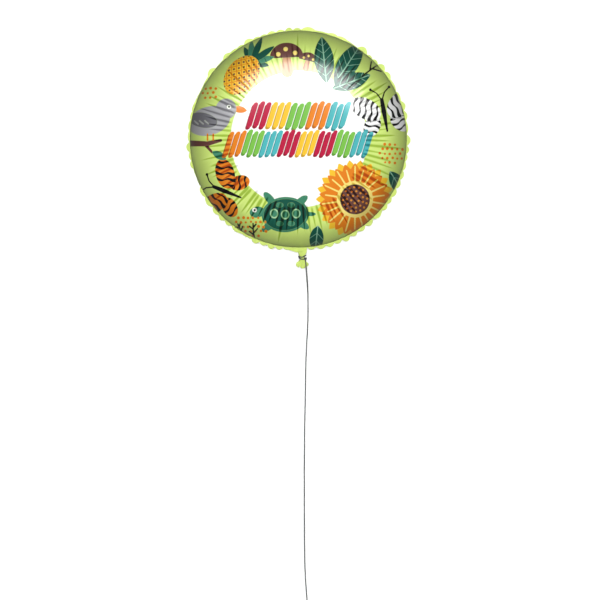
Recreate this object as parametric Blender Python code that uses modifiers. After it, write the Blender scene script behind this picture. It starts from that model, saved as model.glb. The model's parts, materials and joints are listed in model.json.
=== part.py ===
"""Round foil party balloon with its string, lying on its back with the neck towards -Y.

Two flat round foil sheets are sealed together along a narrow rim. Filled, they take the
shape that two flat discs take: the radius shrinks, the cross-section is steep at the rim
and nearly flat at the middle, and the spare length round the rim goes into creases, soft
swells and the lobes of the sealed rim. The balloon is sealed and full, so each sheet with
the gas behind it is one solid half. The neck and the tail below the tie belong to both.
"""
from collections import namedtuple
import math
import random

import bmesh
import bpy
from mathutils import Vector

# Driving dimensions, in metres
FLAT_RADIUS = 0.2262          # of the flat sheets, out to the seal
FLANGE_WIDTH = 0.0078         # of the sealed rim, where a lobe stands out fully
FLANGE_RISE = 0.0030          # how far the lobes wave towards the front and the back
SHEET = 0.0006                # modelled thickness of one sheet in the rim
GAP = 0.0003                  # between pieces that touch
FLAT_SPOT_RADIUS = 0.035      # of the patch on the back that the balloon lies on
CREASE_DEPTH = 0.0009         # of the fine creases round the dome
SWELL_DEPTH = 0.0006          # of the soft swells beside the rim

NECK_X = 0.0062               # sideways place of the neck
NECK_ROOT_WIDTH = 0.0150      # where it leaves the rim
NECK_WIDTH = 0.0100           # gathered by the tie
NECK_THICKNESS = 0.0060       # gathered by the tie
TIE_PLACE = 0.0153            # from the seal to the middle of the tie
TIE_STRETCH = 0.0098          # length of neck that keeps one section for the tie
TAIL_WIDTH = 0.0196
TAIL_LENGTH = 0.0128          # beyond the tie's stretch
TAIL_THICKNESS = 0.0014       # of both sheets where the tail is open
TAIL_RUFFLE = 0.0021          # how far the tail waves towards the front and the back

STRING_DIAMETER = 0.0024
TIE_CLEARANCE = 0.0005        # between the gathered neck and the string round it
KNOT_DIAMETER = 0.0036
COIL_MEAN_RADIUS = 0.0140     # at the middle of the wound turns
COIL_LAYERS = 4               # turns beside each other
COIL_HEIGHT = 0.0092

# Counts and shares that shape the rim
LOBES = 46
NECK_COLUMNS = 8
RIM_SEED = 20
LOBE_STEPS = ((0.0, 0.08), (0.27, 0.88), (0.5, 1.0), (0.73, 0.88))
SHOULDER_REACH = 0.030        # the rim widens over this length into the neck's one side
FLAT_TO_FULL = math.gamma(1 / 4) ** 2 / (4 * math.sqrt(2 * math.pi))   # the radius shrinks so
FRONT_SLOPES = (80, 68, 55, 43, 32, 22)
BACK_SLOPES = (80, 67, 53, 39, 26)

# Figures of the filled shape
RADIUS = FLAT_RADIUS / FLAT_TO_FULL
STRING_RADIUS = STRING_DIAMETER / 2
RIM_FACE = GAP / 2 + SHEET    # outer face of a sheet in the rim, from the middle plane

# The string's way from the knot: to the floor as (x, y, share of the knot's height),
# then along the floor as (x, y), each measured from the knot
FALL = ((0.0000, 0.0000, 1.000), (0.0008, -0.0050, 1.001), (0.0014, -0.0110, 0.996),
        (0.0018, -0.0172, 0.975), (0.0022, -0.0230, 0.915), (0.0026, -0.0278, 0.800),
        (0.0029, -0.0318, 0.640), (0.0033, -0.0360, 0.460), (0.0036, -0.0415, 0.280),
        (0.0040, -0.0500, 0.125), (0.0043, -0.0610, 0.040), (0.0044, -0.0740, 0.0))
FLOOR = ((0.0043, -0.0920), (0.0036, -0.1120), (0.0022, -0.1350), (0.0012, -0.1590),
         (0.0006, -0.1850), (0.0003, -0.2110), (-0.0002, -0.2360), (-0.0009, -0.2620),
         (-0.0013, -0.3020), (-0.0015, -0.3520), (-0.0014, -0.4220), (-0.0010, -0.4680),
         (-0.0003, -0.4960), (0.0010, -0.5190), (0.0024, -0.5380), (0.0032, -0.5530),
         (0.0034, -0.5620))
STRING_POINTS = 80

Column = namedtuple("Column", "angle flange rise crease swell")


def ease(start, end, value):
    """Goes smoothly from 0 at start to 1 at end."""
    share = min(max((value - start) / (end - start), 0.0), 1.0)
    return share * share * (3 - 2 * share)


def dome_height(slope, steps=48):
    """Height of the filled sheet over its rim at that slope, by Simpson's rule."""
    step = (math.pi / 2 - slope) / steps
    total = math.sqrt(math.sin(slope)) + 1.0
    for k in range(1, steps):
        total += (4 if k % 2 else 2) * math.sqrt(math.sin(slope + k * step))
    return RADIUS / 2 * total * step / 3


FLAT_SPOT_SLOPE = math.asin((FLAT_SPOT_RADIUS / RADIUS) ** 2)
MIDDLE = RIM_FACE + dome_height(FLAT_SPOT_SLOPE)   # height of the rim's middle plane
TIE_Y = -RADIUS - TIE_PLACE


def rim_columns():
    """The mesh columns round the rim, anticlockwise from the neck's -X side."""
    rng = random.Random(RIM_SEED)
    neck_half = math.asin(NECK_ROOT_WIDTH / 2 / RADIUS)
    neck_start = math.asin(NECK_X / RADIUS) - neck_half
    root_flange = FLANGE_WIDTH / 5
    columns = []
    for k in range(NECK_COLUMNS):
        share = k / NECK_COLUMNS
        angle = neck_start + 2 * neck_half * share
        flange = FLANGE_WIDTH + (root_flange - FLANGE_WIDTH) * share
        crease = -0.8 * math.cos(4 * math.pi * share)
        swell = -0.7 * math.cos(2 * math.pi * share)
        columns.append(Column(angle, flange, 0.0, crease, swell))
    spans = [rng.uniform(0.65, 1.35) for _ in range(LOBES)]
    turn = 2 * math.pi - 2 * neck_half
    angle = neck_start + 2 * neck_half
    for lobe, span in enumerate(spans):
        sweep = turn * span / sum(spans)
        reach = FLANGE_WIDTH * rng.uniform(0.35, 1.0)
        if rng.random() < 0.14:
            reach = FLANGE_WIDTH * 0.15
        rise = FLANGE_RISE * rng.uniform(0.4, 1.0) * (1 if lobe % 2 else -1)
        depth = rng.uniform(0.6, 1.0)
        for step, (share, stand) in enumerate(LOBE_STEPS):
            place = angle + sweep * share
            to_neck = (2 * math.pi + neck_start - place) * RADIUS
            shoulder = FLANGE_WIDTH * max(0.0, 1 - to_neck / SHOULDER_REACH)
            flange = max(reach * stand, shoulder, root_flange * stand)
            crease = (-1.0 if step == 0 else 0.5 if step % 2 else -0.7) * depth
            swell = -math.cos(2 * math.pi * share) * depth
            columns.append(Column(place, flange, rise * stand, crease, swell))
        angle += sweep
    return columns


def around(column, radius, height):
    """A point at that radius and height above the floor, in a column's direction."""
    return Vector((radius * math.sin(column.angle), -radius * math.cos(column.angle), height))


def dome_point(column, slope, side, fine):
    """A point of a filled sheet, with its creases and swells."""
    share = math.sqrt(math.sin(slope))
    creases = ease(0.45, 0.74, share) * (1 - ease(0.84, 0.97, share))
    swells = ease(0.72, 0.92, share) * (1 - 0.7 * ease(0.94, 1.0, share))
    out = SWELL_DEPTH * column.swell * swells
    if fine:
        out += CREASE_DEPTH * column.crease * creases
    radius = RADIUS * share + out * math.sin(slope)
    height = RIM_FACE + dome_height(slope) + out * math.cos(slope)
    wave = 0.35 * column.rise * ease(0.93, 1.0, share)
    return around(column, radius, MIDDLE + side * height + wave)


def bridge(bm, outer, inner):
    """Joins two rings, the inner with as many points as the outer or half as many."""
    ratio = len(outer) // len(inner)
    faces = []
    for k, start in enumerate(inner):
        end = inner[(k + 1) % len(inner)]
        run = [outer[(k * ratio + step) % len(outer)] for step in range(ratio + 1)]
        if ratio == 1:
            faces.append(bm.faces.new((run[0], run[1], end, start)))
        else:
            faces.append(bm.faces.new((run[0], run[1], start)))
            faces.append(bm.faces.new((run[1], end, start)))
            faces.append(bm.faces.new((run[1], run[2], end)))
    return faces


def fan(bm, ring, centre):
    """Closes a ring with triangles to one point."""
    tip = bm.verts.new(centre)
    for k, start in enumerate(ring):
        bm.faces.new((start, ring[(k + 1) % len(ring)], tip))


def tail_end(across):
    """Length of the tail as a share, from -1 at one edge to 1 at the other."""
    left_notch = 0.22 * math.exp(-((across + 0.40) / 0.17) ** 2)
    right_notch = 0.14 * math.exp(-((across - 0.58) / 0.17) ** 2)
    return 1 - 0.46 * across ** 4 - left_notch - right_notch


def neck_stations():
    """Places along the neck: distance from the seal, width, thickness, ruffle, tail share."""
    start = TIE_PLACE - TIE_STRETCH / 2
    end = TIE_PLACE + TIE_STRETCH / 2
    root_width = NECK_WIDTH + 0.55 * (NECK_ROOT_WIDTH - NECK_WIDTH)
    stations = [(start - 0.1 * TIE_PLACE, root_width, 0.8 * NECK_THICKNESS, 0.0, 0.0)]
    stations.append((start, NECK_WIDTH, NECK_THICKNESS, 0.0, 0.0))
    stations.append((end, NECK_WIDTH, NECK_THICKNESS, 0.0, 0.0))
    for share in (0.28, 0.62, 1.0):
        opened = math.sin(math.pi / 2 * min(1.0, share / 0.7))
        width = NECK_WIDTH + (TAIL_WIDTH - NECK_WIDTH) * opened
        thickness = TAIL_THICKNESS + (NECK_THICKNESS - TAIL_THICKNESS) * (1 - share) ** 3
        stations.append((end, width, thickness, TAIL_RUFFLE * share, share))
    return stations


def neck_point(station, place, side, outer_face):
    """A point of the neck or tail, on the middle face or the outer face of its half."""
    along, width, thickness, ruffle, tail_share = station
    across = 2 * place / NECK_COLUMNS - 1
    along += TAIL_LENGTH * tail_share * tail_end(across)
    height = ruffle * math.cos(math.pi * (across - 0.1) / 0.49) + side * GAP / 2
    if outer_face:
        height += side * (thickness - GAP) / 2 * math.sqrt(1 - 0.95 * across ** 2)
    return Vector((NECK_X + across * width / 2, -RADIUS - along, MIDDLE + height))


def draw_neck(bm, wall, place_layer, face_layer, side):
    """Extrudes the rim's wall between the neck's columns through every station."""
    for station in neck_stations():
        grown = bmesh.ops.extrude_face_region(bm, geom=wall)["geom"]
        bmesh.ops.delete(bm, geom=wall, context="FACES")
        wall = [item for item in grown if isinstance(item, bmesh.types.BMFace)]
        for vert in grown:
            if isinstance(vert, bmesh.types.BMVert):
                outer_face = vert[face_layer] == 1
                vert.co = neck_point(station, vert[place_layer], side, outer_face)


def foil_half(name, side, material):
    """One filled sheet with its half of the rim, neck and tail: front 1, back -1."""
    columns = rim_columns()
    bm = bmesh.new()
    place_layer = bm.verts.layers.int.new("neck_place")
    face_layer = bm.verts.layers.int.new("outer_face")

    def rim_ring(at_edge, face_height):
        ring = []
        for column in columns:
            radius = RADIUS + (column.flange if at_edge else 0.0)
            wave = column.rise * (1.0 if at_edge else 0.35)
            ring.append(bm.verts.new(around(column, radius, MIDDLE + wave + side * face_height)))
        return ring

    def dome_ring(slope, every):
        fine = every == 1
        return [bm.verts.new(dome_point(column, slope, side, fine)) for column in columns[::every]]

    inner_seal = rim_ring(False, GAP / 2)
    inner_edge = rim_ring(True, GAP / 2)
    outer_edge = rim_ring(True, RIM_FACE)
    outer_seal = rim_ring(False, RIM_FACE)
    for place in range(NECK_COLUMNS + 1):
        inner_edge[place][place_layer] = place
        outer_edge[place][place_layer] = place
        outer_edge[place][face_layer] = 1
    fan(bm, inner_seal, (0, 0, MIDDLE + side * GAP / 2))
    bridge(bm, inner_seal, inner_edge)
    wall = bridge(bm, inner_edge, outer_edge)[:NECK_COLUMNS]
    bridge(bm, outer_edge, outer_seal)

    slopes = FRONT_SLOPES if side > 0 else BACK_SLOPES
    rings = [outer_seal]
    rings += [dome_ring(math.radians(slope), 1 if side > 0 else 2) for slope in slopes]
    if side > 0:
        rings.append(dome_ring(math.radians(14), 2))
        rings.append(dome_ring(math.radians(7), 4))
        rings.append(dome_ring(math.radians(2.5), 4))
    else:
        rings.append(dome_ring(math.radians(15), 4))
        rings.append(dome_ring(math.radians(7), 4))
        rings.append(dome_ring(FLAT_SPOT_SLOPE, 4))
    for outer, inner in zip(rings, rings[1:]):
        bridge(bm, outer, inner)
    if side > 0:
        fan(bm, rings[-1], (0, 0, MIDDLE + RIM_FACE + dome_height(0.0)))
    else:
        for vert in rings[-1]:
            vert.co.z = 0.0
        bm.faces.new(rings[-1])
    draw_neck(bm, wall, place_layer, face_layer, side)
    bmesh.ops.recalc_face_normals(bm, faces=bm.faces)

    mesh = bpy.data.meshes.new(name)
    bm.to_mesh(mesh)
    bm.free()
    mesh.shade_smooth()
    mesh.set_sharp_from_angle(angle=math.radians(40))
    mesh.materials.append(material)
    return add_object(name, mesh)


def smooth_way(points, count):
    """Evenly spaced points on one smooth curve through the given ones, over the floor."""
    ends = [2 * points[0] - points[1]] + points + [2 * points[-1] - points[-2]]
    dense = []
    for k in range(1, len(ends) - 2):
        a, b, c, d = ends[k - 1:k + 3]
        for step in range(24):
            t = step / 24
            dense.append(0.5 * (2 * b + (c - a) * t + (2 * a - 5 * b + 4 * c - d) * t * t
                                + (3 * b - a - 3 * c + d) * t ** 3))
    dense.append(points[-1])
    lengths = [0.0]
    for a, b in zip(dense, dense[1:]):
        lengths.append(lengths[-1] + (b - a).length)
    even = []
    k = 0
    for index in range(count):
        wanted = lengths[-1] * index / (count - 1)
        while k < len(dense) - 2 and lengths[k + 1] < wanted:
            k += 1
        share = (wanted - lengths[k]) / (lengths[k + 1] - lengths[k])
        point = dense[k].lerp(dense[k + 1], share)
        point.z = max(point.z, STRING_RADIUS)
        even.append(point)
    return even


def tube(name, points, material, closed=False):
    """A string's length as a round tube on a POLY spline."""
    curve = bpy.data.curves.new(name, "CURVE")
    curve.dimensions = "3D"
    curve.bevel_depth = STRING_RADIUS
    curve.bevel_resolution = 2
    curve.use_fill_caps = not closed
    curve.materials.append(material)
    spline = curve.splines.new("POLY")
    spline.points.add(len(points) - 1)
    for item, point in zip(spline.points, points):
        item.co = (*point, 1.0)
    spline.use_cyclic_u = closed
    return add_object(name, curve)


def wrap_point(turn, middle, lean, sag, radius=STRING_RADIUS):
    """A point of one wrap of the tie: its middle, its lean across and its sag in front."""
    half_width = NECK_WIDTH / 2 + TIE_CLEARANCE + radius
    half_depth = NECK_THICKNESS / 2 + TIE_CLEARANCE + radius
    along = middle + lean * math.cos(turn) - sag * math.sin(turn) ** 2
    return Vector((NECK_X + half_width * math.cos(turn), TIE_Y + along,
                   MIDDLE + half_depth * math.sin(turn)))


# The two wraps of the tie as (middle, lean, sag) along the neck, and the knot's place
UPPER_WRAP = (0.0023, 0.0010, 0.0026)
LOWER_WRAP = (-0.0008, -0.0012, 0.0020)
WRAP_STEPS = 18
KNOT_TURN = math.radians(44)
KNOT_CENTRE = wrap_point(KNOT_TURN, *LOWER_WRAP, radius=KNOT_DIAMETER / 2)


def solid_from_curve(obj):
    """The curve's tube as a mesh object in its place."""
    graph = bpy.context.evaluated_depsgraph_get()
    mesh = bpy.data.meshes.new_from_object(obj.evaluated_get(graph))
    name, place = obj.name, obj.matrix_world.copy()
    bpy.data.objects.remove(obj)
    bm = bmesh.new()
    bm.from_mesh(mesh)
    bmesh.ops.remove_doubles(bm, verts=bm.verts, dist=1e-6)
    bm.to_mesh(mesh)
    bm.free()
    solid = add_object(name, mesh)
    solid.matrix_world = place
    return solid


def make_tie(material):
    """Two wraps round the gathered neck and the knot that holds them."""
    turns = [2 * math.pi * step / WRAP_STEPS for step in range(WRAP_STEPS)]
    upper = [wrap_point(turn, *UPPER_WRAP) for turn in turns]
    lower = [wrap_point(turn, *LOWER_WRAP) for turn in turns]
    tie = solid_from_curve(tube("ribbon_tie", upper, material, closed=True))
    second = solid_from_curve(tube("lower_wrap", lower, material, closed=True))
    knot_mesh = bpy.data.meshes.new("knot")
    bm = bmesh.new()
    bmesh.ops.create_icosphere(bm, subdivisions=2, radius=KNOT_DIAMETER / 2)
    bm.to_mesh(knot_mesh)
    bm.free()
    knot = add_object("knot", knot_mesh)
    knot.location = KNOT_CENTRE
    for tool in (second, knot):
        join = tie.modifiers.new(tool.name, "BOOLEAN")
        join.operation = "UNION"
        join.object = tool
        as_cutter(tool)
    return tie


def string_way():
    """The uncoiled string from the knot to the coil."""
    knot_height = KNOT_CENTRE.z
    start = Vector((0, -KNOT_DIAMETER / 2 - GAP, 0))
    way = []
    for x, y, share in FALL:
        height = STRING_RADIUS + (knot_height - STRING_RADIUS) * share
        way.append(Vector((KNOT_CENTRE.x + x, KNOT_CENTRE.y + y, height)) + start)
    for x, y in FLOOR:
        way.append(Vector((KNOT_CENTRE.x + x, KNOT_CENTRE.y + y, STRING_RADIUS)) + start)
    return way


def make_coil(end, material):
    """The wound-up rest of the string as one ring beside the end of the tube."""
    half_band = COIL_LAYERS * STRING_DIAMETER / 2
    corner = STRING_DIAMETER / 2
    outer = COIL_MEAN_RADIUS + half_band
    inner = COIL_MEAN_RADIUS - half_band
    outline = [(outer - corner, COIL_HEIGHT), (outer, COIL_HEIGHT - corner), (outer, corner),
               (outer - corner, 0), (inner + corner, 0), (inner, corner),
               (inner, COIL_HEIGHT - corner), (inner + corner, COIL_HEIGHT)]
    mesh = bpy.data.meshes.new("ribbon_coil")
    bm = bmesh.new()
    corners = [bm.verts.new((x, 0, z)) for x, z in outline]
    for k, start in enumerate(corners):
        bm.edges.new((start, corners[(k + 1) % len(corners)]))
    bm.to_mesh(mesh)
    bm.free()
    mesh.materials.append(material)
    coil = add_object("ribbon_coil", mesh)
    to_string = outer - STRING_RADIUS
    reach = math.sqrt(outer ** 2 - (to_string - STRING_RADIUS) ** 2)
    coil.location = (end.x - to_string, end.y - reach - GAP, 0)
    turned = coil.modifiers.new("Turned ring", "SCREW")
    turned.steps = turned.render_steps = 24
    turned.use_merge_vertices = True
    turned.merge_threshold = 0.00001
    return coil


def material(name, color, roughness, metallic=0.0):
    """A Principled material with the part's colour and finish."""
    result = bpy.data.materials.new(name)
    result.use_nodes = True
    shader = result.node_tree.nodes["Principled BSDF"]
    shader.inputs["Base Color"].default_value = (*color, 1.0)
    shader.inputs["Roughness"].default_value = roughness
    shader.inputs["Metallic"].default_value = metallic
    return result


def add_object(name, data):
    """Puts a new object in the part's collection."""
    obj = bpy.data.objects.new(name, data)
    PART.objects.link(obj)
    bpy.context.view_layer.update()
    return obj


def as_cutter(obj):
    """Moves an object that only shapes another out of the part's collection."""
    PART.objects.unlink(obj)
    CUTTERS.objects.link(obj)
    obj.hide_render = True
    obj.display_type = "WIRE"


for old in list(bpy.data.objects):
    bpy.data.objects.remove(old)
PART = bpy.data.collections.new("foil_balloon")
CUTTERS = bpy.data.collections.new("foil_balloon_cutters")
bpy.context.scene.collection.children.link(PART)
bpy.context.scene.collection.children.link(CUTTERS)

front_finish = material("printed_foil", (0.58, 0.80, 0.16), 0.25, 0.3)
back_finish = material("plain_foil", (0.58, 0.80, 0.16), 0.25, 0.5)
string_finish = material("grey_string", (0.22, 0.22, 0.23), 0.8)
foil_half("front_foil", 1, front_finish)
foil_half("back_foil", -1, back_finish)
make_tie(string_finish)
way = smooth_way(string_way(), STRING_POINTS)
tube("ribbon", way, string_finish)
make_coil(way[-1], string_finish)
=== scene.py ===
"""Looks of a round foil party balloon with its string, lying on its back on a pale floor.

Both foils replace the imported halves. Each is one rolled grid whose points then take the
filled shape, the creases and the lobes of the sealed rim. The picture on the front is kept
on the mesh as the distance to the edge of each ink, which the material turns into crisp
shapes. The material also draws the two rows of strokes. The grey string has its whole
length: tied round the neck, laid over the floor, and the rest wound up in a coil.
"""

import json
import math
import random

import bmesh
import bpy
import numpy as np
from bpy.props import FloatProperty, FloatVectorProperty, PointerProperty
from bpy.types import Operator, Panel, PropertyGroup
from mathutils import Matrix, Vector

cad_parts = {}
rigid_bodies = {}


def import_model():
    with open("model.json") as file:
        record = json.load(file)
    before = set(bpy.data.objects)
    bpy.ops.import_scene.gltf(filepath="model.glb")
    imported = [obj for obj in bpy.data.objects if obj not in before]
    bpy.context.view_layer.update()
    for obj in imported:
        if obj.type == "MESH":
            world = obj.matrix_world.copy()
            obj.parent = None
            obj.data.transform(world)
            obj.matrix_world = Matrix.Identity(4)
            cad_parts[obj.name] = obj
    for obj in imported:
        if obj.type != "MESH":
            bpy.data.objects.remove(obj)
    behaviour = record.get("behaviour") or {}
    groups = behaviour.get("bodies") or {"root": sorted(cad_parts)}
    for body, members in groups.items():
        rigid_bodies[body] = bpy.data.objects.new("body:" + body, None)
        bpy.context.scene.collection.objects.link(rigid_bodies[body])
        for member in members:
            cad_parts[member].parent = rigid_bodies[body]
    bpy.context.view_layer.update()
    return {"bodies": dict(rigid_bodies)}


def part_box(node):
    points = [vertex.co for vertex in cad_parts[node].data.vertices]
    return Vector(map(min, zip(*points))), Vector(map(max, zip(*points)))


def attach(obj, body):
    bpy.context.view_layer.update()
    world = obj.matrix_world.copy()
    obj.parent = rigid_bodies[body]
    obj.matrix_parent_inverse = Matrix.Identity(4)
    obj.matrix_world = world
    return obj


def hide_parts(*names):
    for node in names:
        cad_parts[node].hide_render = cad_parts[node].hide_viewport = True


bl_info = {
    "name": "Foil balloon looks",
    "version": (1, 0, 0),
    "blender": (4, 5, 0),
    "location": "3D View > Sidebar > Balloon",
    "description": "Builds the foils, the string and the stage of a round foil balloon",
    "category": "Object",
}

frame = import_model()
BODY = next(iter(frame["bodies"]))

# Each foil's mesh: its rings run from the dome's pole over the rim to the middle of the
# inner face, and its columns run round the rim
LOBES = 46                    # of the sealed rim
LOBE_COLUMNS = 14             # across one lobe
NECK_COLUMNS = 24             # across the neck
COLUMNS = LOBES * LOBE_COLUMNS + NECK_COLUMNS
FLANGE_RINGS = 4
SEAL_RING = 132
EDGE_RING = SEAL_RING + FLANGE_RINGS
INNER_EDGE_RING = EDGE_RING + 1
INNER_SEAL_RING = INNER_EDGE_RING + FLANGE_RINGS
INNER_POLE_RING = INNER_SEAL_RING + 1
INNER_FACE = 0.00002          # from the middle plane to each sheet's inner face
FLAT_TO_FULL = math.gamma(1 / 4) ** 2 / (4 * math.sqrt(2 * math.pi))   # the radius shrinks so

# The sealed rim, with ranges for its draws. Reaches are shares of the seal's width.
RIM_SEED = 20
LOBE_SPAN = (0.65, 1.35)      # of the mean lobe's
WIDE_LOBE = 0.95              # wider lobes show as two scallops
LOBE_REACH = (0.35, 1.0)
FLAT_LOBES = 0.14             # share of the lobes that hardly stand out
FLAT_REACH = 0.15
WIDEST_SEAL = math.radians(35)             # round the rim from the neck
WIDEST_REACH = 0.86           # at least, there
NOTCH_REACH = (0.04, 0.38)    # between neighbouring lobes
ROOT_REACH = 0.2              # on the neck's right side
SHOULDER = 0.030              # the rim widens over this length into the neck's left side
LESSER_SCALLOP = (0.7, 0.9)   # beside its neighbour
SCALLOP_FOOT = 0.14           # of its height, where it starts
LOBE_WAVE = (0.4, 1.0)
LOBE_SWELL = (0.6, 1.0)
NECK_SWELL = 0.7
SWELL_RISES = (0.72, 0.92)    # shares of the filled radius
SWELL_FALLS = (0.94, 1.0)
SWELL_LOSS = 0.7
WAVE_STARTS = (0.93, 1.0)
SEAL_RISE = 0.35              # of the edge's wave

# The creases, with ranges for their draws. Places are shares of the filled radius.
CREASE_SEED = 7
CREASES = 94                  # round the dome
CREASE_SHIFT = 0.16           # of their pitch, to either side
CREASE_START = (0.60, 0.65)
CREASE_END = (0.82, 0.95)
LONG_CREASES = 0.06           # share of the creases that reach the rim
LONG_END = 0.99
CREASE_STRENGTH = (0.72, 1.0)
CREASE_HALF_WIDTH = (0.0018, 0.0025)
CREASE_BEND = 0.02
CREASE_DEPTHS = (0.80, -0.13, 0.09)        # all round, four times round, once round
FADE_IN = (-0.03, 0.04)       # about a crease's start
FADE_OUT = (-0.09, 0.03)      # about its end
TAPER_LENGTH, TAPER = 0.22, 0.70
RIDGE_HEIGHT = 0.45           # of a crease's depth
RIDGE_WIDTH = 0.0040

# The neck's stations, as shares of its stretches from the rim, under the tie and below it
ROOT_STATIONS = (0.12, 0.3, 0.5, 0.7, 0.86, 1.0)
TIE_STATIONS = (0.18, 0.36, 0.5, 0.64, 0.82, 1.0)
TAIL_STATIONS = (0.1, 0.2, 0.3, 0.42, 0.54, 0.66, 0.78, 0.89, 1.0)
NECK_STARTS = 0.34            # of the way to the tie's middle
ROOT_THICKNESS = 0.52         # of the neck's
TAIL_OPENS = 0.72             # of its length
TAIL_ROUNDING = 0.46          # of its length, at its corners
TAIL_NOTCHES = ((0.22, -0.40), (0.14, 0.58))           # depth, and place from -1 to 1
TAIL_NOTCH_WIDTH = 0.17
RUFFLE_PITCH = 0.49
PLEATS = 8.5
PLEAT_DEPTH = 0.10
PLEATS_START = (0.006, 0.012)              # from the seal

# The string's way from the knot: to the floor as (x, y, share of the knot's height),
# then along the floor as (x, y), each measured from the knot
FALL = ((0.0000, 0.0000, 1.000), (0.0008, -0.0050, 1.001), (0.0014, -0.0110, 0.996),
        (0.0018, -0.0172, 0.975), (0.0022, -0.0230, 0.915), (0.0026, -0.0278, 0.800),
        (0.0029, -0.0318, 0.640), (0.0033, -0.0360, 0.460), (0.0036, -0.0415, 0.280),
        (0.0040, -0.0500, 0.125), (0.0043, -0.0610, 0.040), (0.0044, -0.0740, 0.0))
FLOOR = ((0.0043, -0.0920), (0.0036, -0.1120), (0.0022, -0.1350), (0.0012, -0.1590),
         (0.0006, -0.1850), (0.0003, -0.2110), (-0.0002, -0.2360), (-0.0009, -0.2620),
         (-0.0013, -0.3020), (-0.0015, -0.3520), (-0.0014, -0.4220), (-0.0010, -0.4680),
         (-0.0003, -0.4960), (0.0010, -0.5190), (0.0024, -0.5380), (0.0032, -0.5530),
         (0.0034, -0.5620))

# The tie: each wrap's place along the neck, lean across and sag in front, then its steps
UPPER_WRAP = (0.0022, 0.0008, 0.0022)
LOWER_WRAP = (-0.0014, -0.0006, 0.0019)
TIE_SQUEEZE = 0.34            # how much narrower the neck is under the tie, as a share
TIE_STEPS = 120
TIE_SPACING = 0.0006
TIE_STARTS = math.radians(22)
TIE_LOWERS = (math.radians(150), math.radians(400))    # turns between the two wraps
TIE_STUB = (0.0010, 0.0006, 0.0006)
TIGHT = 0.92                  # the string's thickness when tight, and the knot's
KNOT_TIGHT = 0.72
KNOT_TURN = math.radians(33)
KNOT_STEPS = 90
KNOT_LOOP = 0.17              # of the knot's diameter
KNOT_GAP = 0.0003             # from the knot to the string's way

# The string's steps, its strands, its coil and the band
SPACING = 0.001
CURVE_STEPS = 24
SECTION_POINTS = 15
STRANDS = 3
STRAND_GROOVE = 0.10          # half the grooves' depth, as a share of the radius
COIL_RINGS = (1.5, 0.5, -0.5, -1.5)        # in diameters from the middle of the turns
COIL_LAYERS = 5
COIL_STEPS = 72               # in a turn
COIL_CROSSES = 0.78           # share of a turn after which it goes over to the next
COIL_WOBBLE = 0.00012
COIL_SEED = 11
BAND_WIDTH = 0.006


def linear(red, green, blue):
    """A colour as the eye's 0 to 255 values, in the render's linear light."""
    return tuple(((c / 255 + 0.055) / 1.055) ** 2.4 if c > 10 else c / 3295
                 for c in (red, green, blue))


def length(name, default, description):
    """A size in metres."""
    return FloatProperty(name=name, default=default, description=description,
                         min=0.0, precision=5, unit="LENGTH")


def ink(name, color, description):
    """A colour that a user may change."""
    return FloatVectorProperty(name=name, default=linear(*color), description=description,
                               size=3, min=0.0, max=1.0, subtype="COLOR")


class FoilSizes(PropertyGroup):
    """Sizes of the two foils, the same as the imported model's"""
    flat_radius: length("Flat radius", 0.2262, "Radius of the flat sheets out to the seal")
    seal_width: length("Seal width", 0.0078, "Width of the sealed rim where a lobe stands out")
    seal_wave: length("Seal wave", 0.0020, "How far the lobes wave to the front and the back")
    rim_face: length("Rim face", 0.00075, "From the middle plane to a sheet's face at the seal")
    film: length("Film", 0.00030, "Thickness of one sheet at the rim's edge")
    crease_depth: length("Crease depth", 0.00095, "Depth of the creases round the dome")
    swell_depth: length("Swell depth", 0.0006, "Height of the soft swells beside the rim")
    flat_spot: length("Flat spot", 0.035, "Radius of the patch that the balloon lies on")
    neck_x: length("Neck place", 0.0062, "Sideways place of the neck")
    neck_root: length("Neck root", 0.0150, "Width of the neck where it leaves the rim")
    neck_width: length("Neck width", 0.0114, "Width of the neck gathered by the tie")
    neck_thickness: length("Neck thickness", 0.0060, "Thickness of the gathered neck")
    tie_place: length("Tie place", 0.0153, "From the seal to the middle of the tie")
    tie_stretch: length("Tie stretch", 0.0098, "Length of neck that the tie takes")
    tail_width: length("Tail width", 0.0196, "Width of the open tail")
    tail_length: length("Tail length", 0.0128, "Length of the tail below the tie")
    tail_thickness: length("Tail thickness", 0.0014, "Thickness of the open tail")
    tail_ruffle: length("Tail ruffle", 0.0021, "How far the tail waves")


class StringSizes(PropertyGroup):
    """Sizes of the string"""
    diameter: length("Diameter", 0.0024, "Diameter of the string")
    whole: length("Whole length", 1.8, "Length from the knot to the far end")
    knot: length("Knot", 0.0036, "Diameter of the knot")
    clearance: length("Clearance", 0.0003, "Between the gathered neck and the string")
    twist: length("Twist", 0.0062, "Length of one turn of the strands")
    coil_radius: length("Coil radius", 0.0140, "Radius at the middle of the wound turns")
    band: length("Band", 0.0004, "Thickness of the paper band round the coil")


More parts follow.
